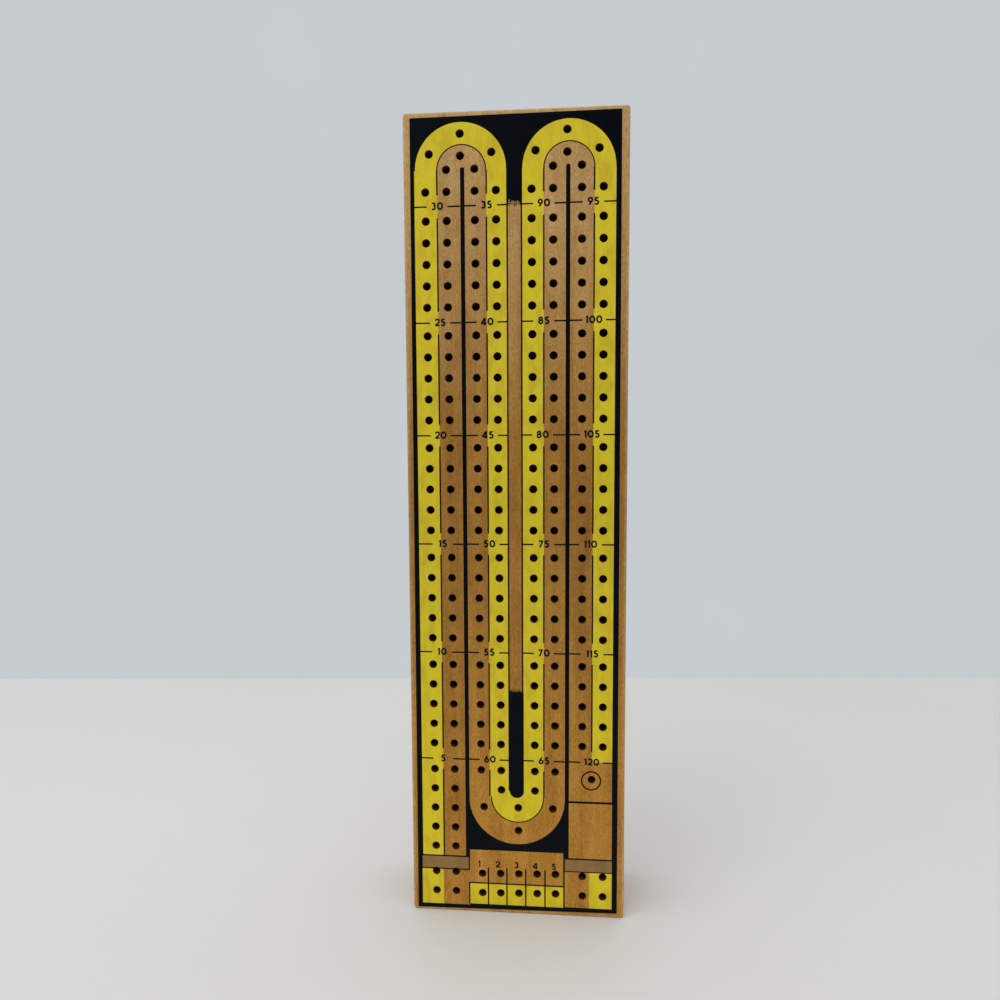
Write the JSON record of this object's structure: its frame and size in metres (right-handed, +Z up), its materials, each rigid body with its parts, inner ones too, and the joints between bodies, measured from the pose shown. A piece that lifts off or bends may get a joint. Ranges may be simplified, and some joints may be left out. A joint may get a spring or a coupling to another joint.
{
  "type": "cribbage box with drawer",
  "caption": "Wooden cribbage board over a shallow case, with rows of peg holes in two looping tracks and a drawer for cards and pegs that slides out of one end.",
  "frame": {"origin": "middle of the end that the box stands on, which is the end with the starting holes", "axes": "+Z up the box's length, towards the drawer's front; +X across the tracks, to the right as the playing face is seen; the playing face looks along -Y"},
  "size_m": [0.1008, 0.042, 0.372],
  "materials": {
    "board_wood": "satin varnish",
    "case_wood": "satin varnish",
    "back_plywood": "plain",
    "drawer_wood": "plain",
    "brad_steel": "dull",
    "peg_brass": "turned",
    "peg_nickel": "turned nickel plate"
  },
  "bodies": {
    "case": {"playing_board": "board_wood", "side_rail_left": "case_wood", "side_rail_right": "case_wood", "end_block": "case_wood", "back_panel": "back_plywood", "back_brads": "brad_steel", "end_brads": "brad_steel"},
    "drawer": {"drawer_front": "case_wood", "drawer_side_left": "drawer_wood", "drawer_side_right": "drawer_wood", "drawer_rear": "drawer_wood", "drawer_bottom": "back_plywood", "card_divider": "drawer_wood", "peg_divider": "drawer_wood", "drawer_brads": "brad_steel", "peg_brass_1": "peg_brass", "peg_brass_2": "peg_brass", "peg_brass_3": "peg_brass", "peg_nickel_1": "peg_nickel", "peg_nickel_2": "peg_nickel", "peg_nickel_3": "peg_nickel"}
  },
  "joints": [
    {"name": "drawer_slide", "type": "slide", "parent": "case", "child": "drawer", "axis": [0, 0, 1], "range_m": [0, 0.26]}
  ]
}
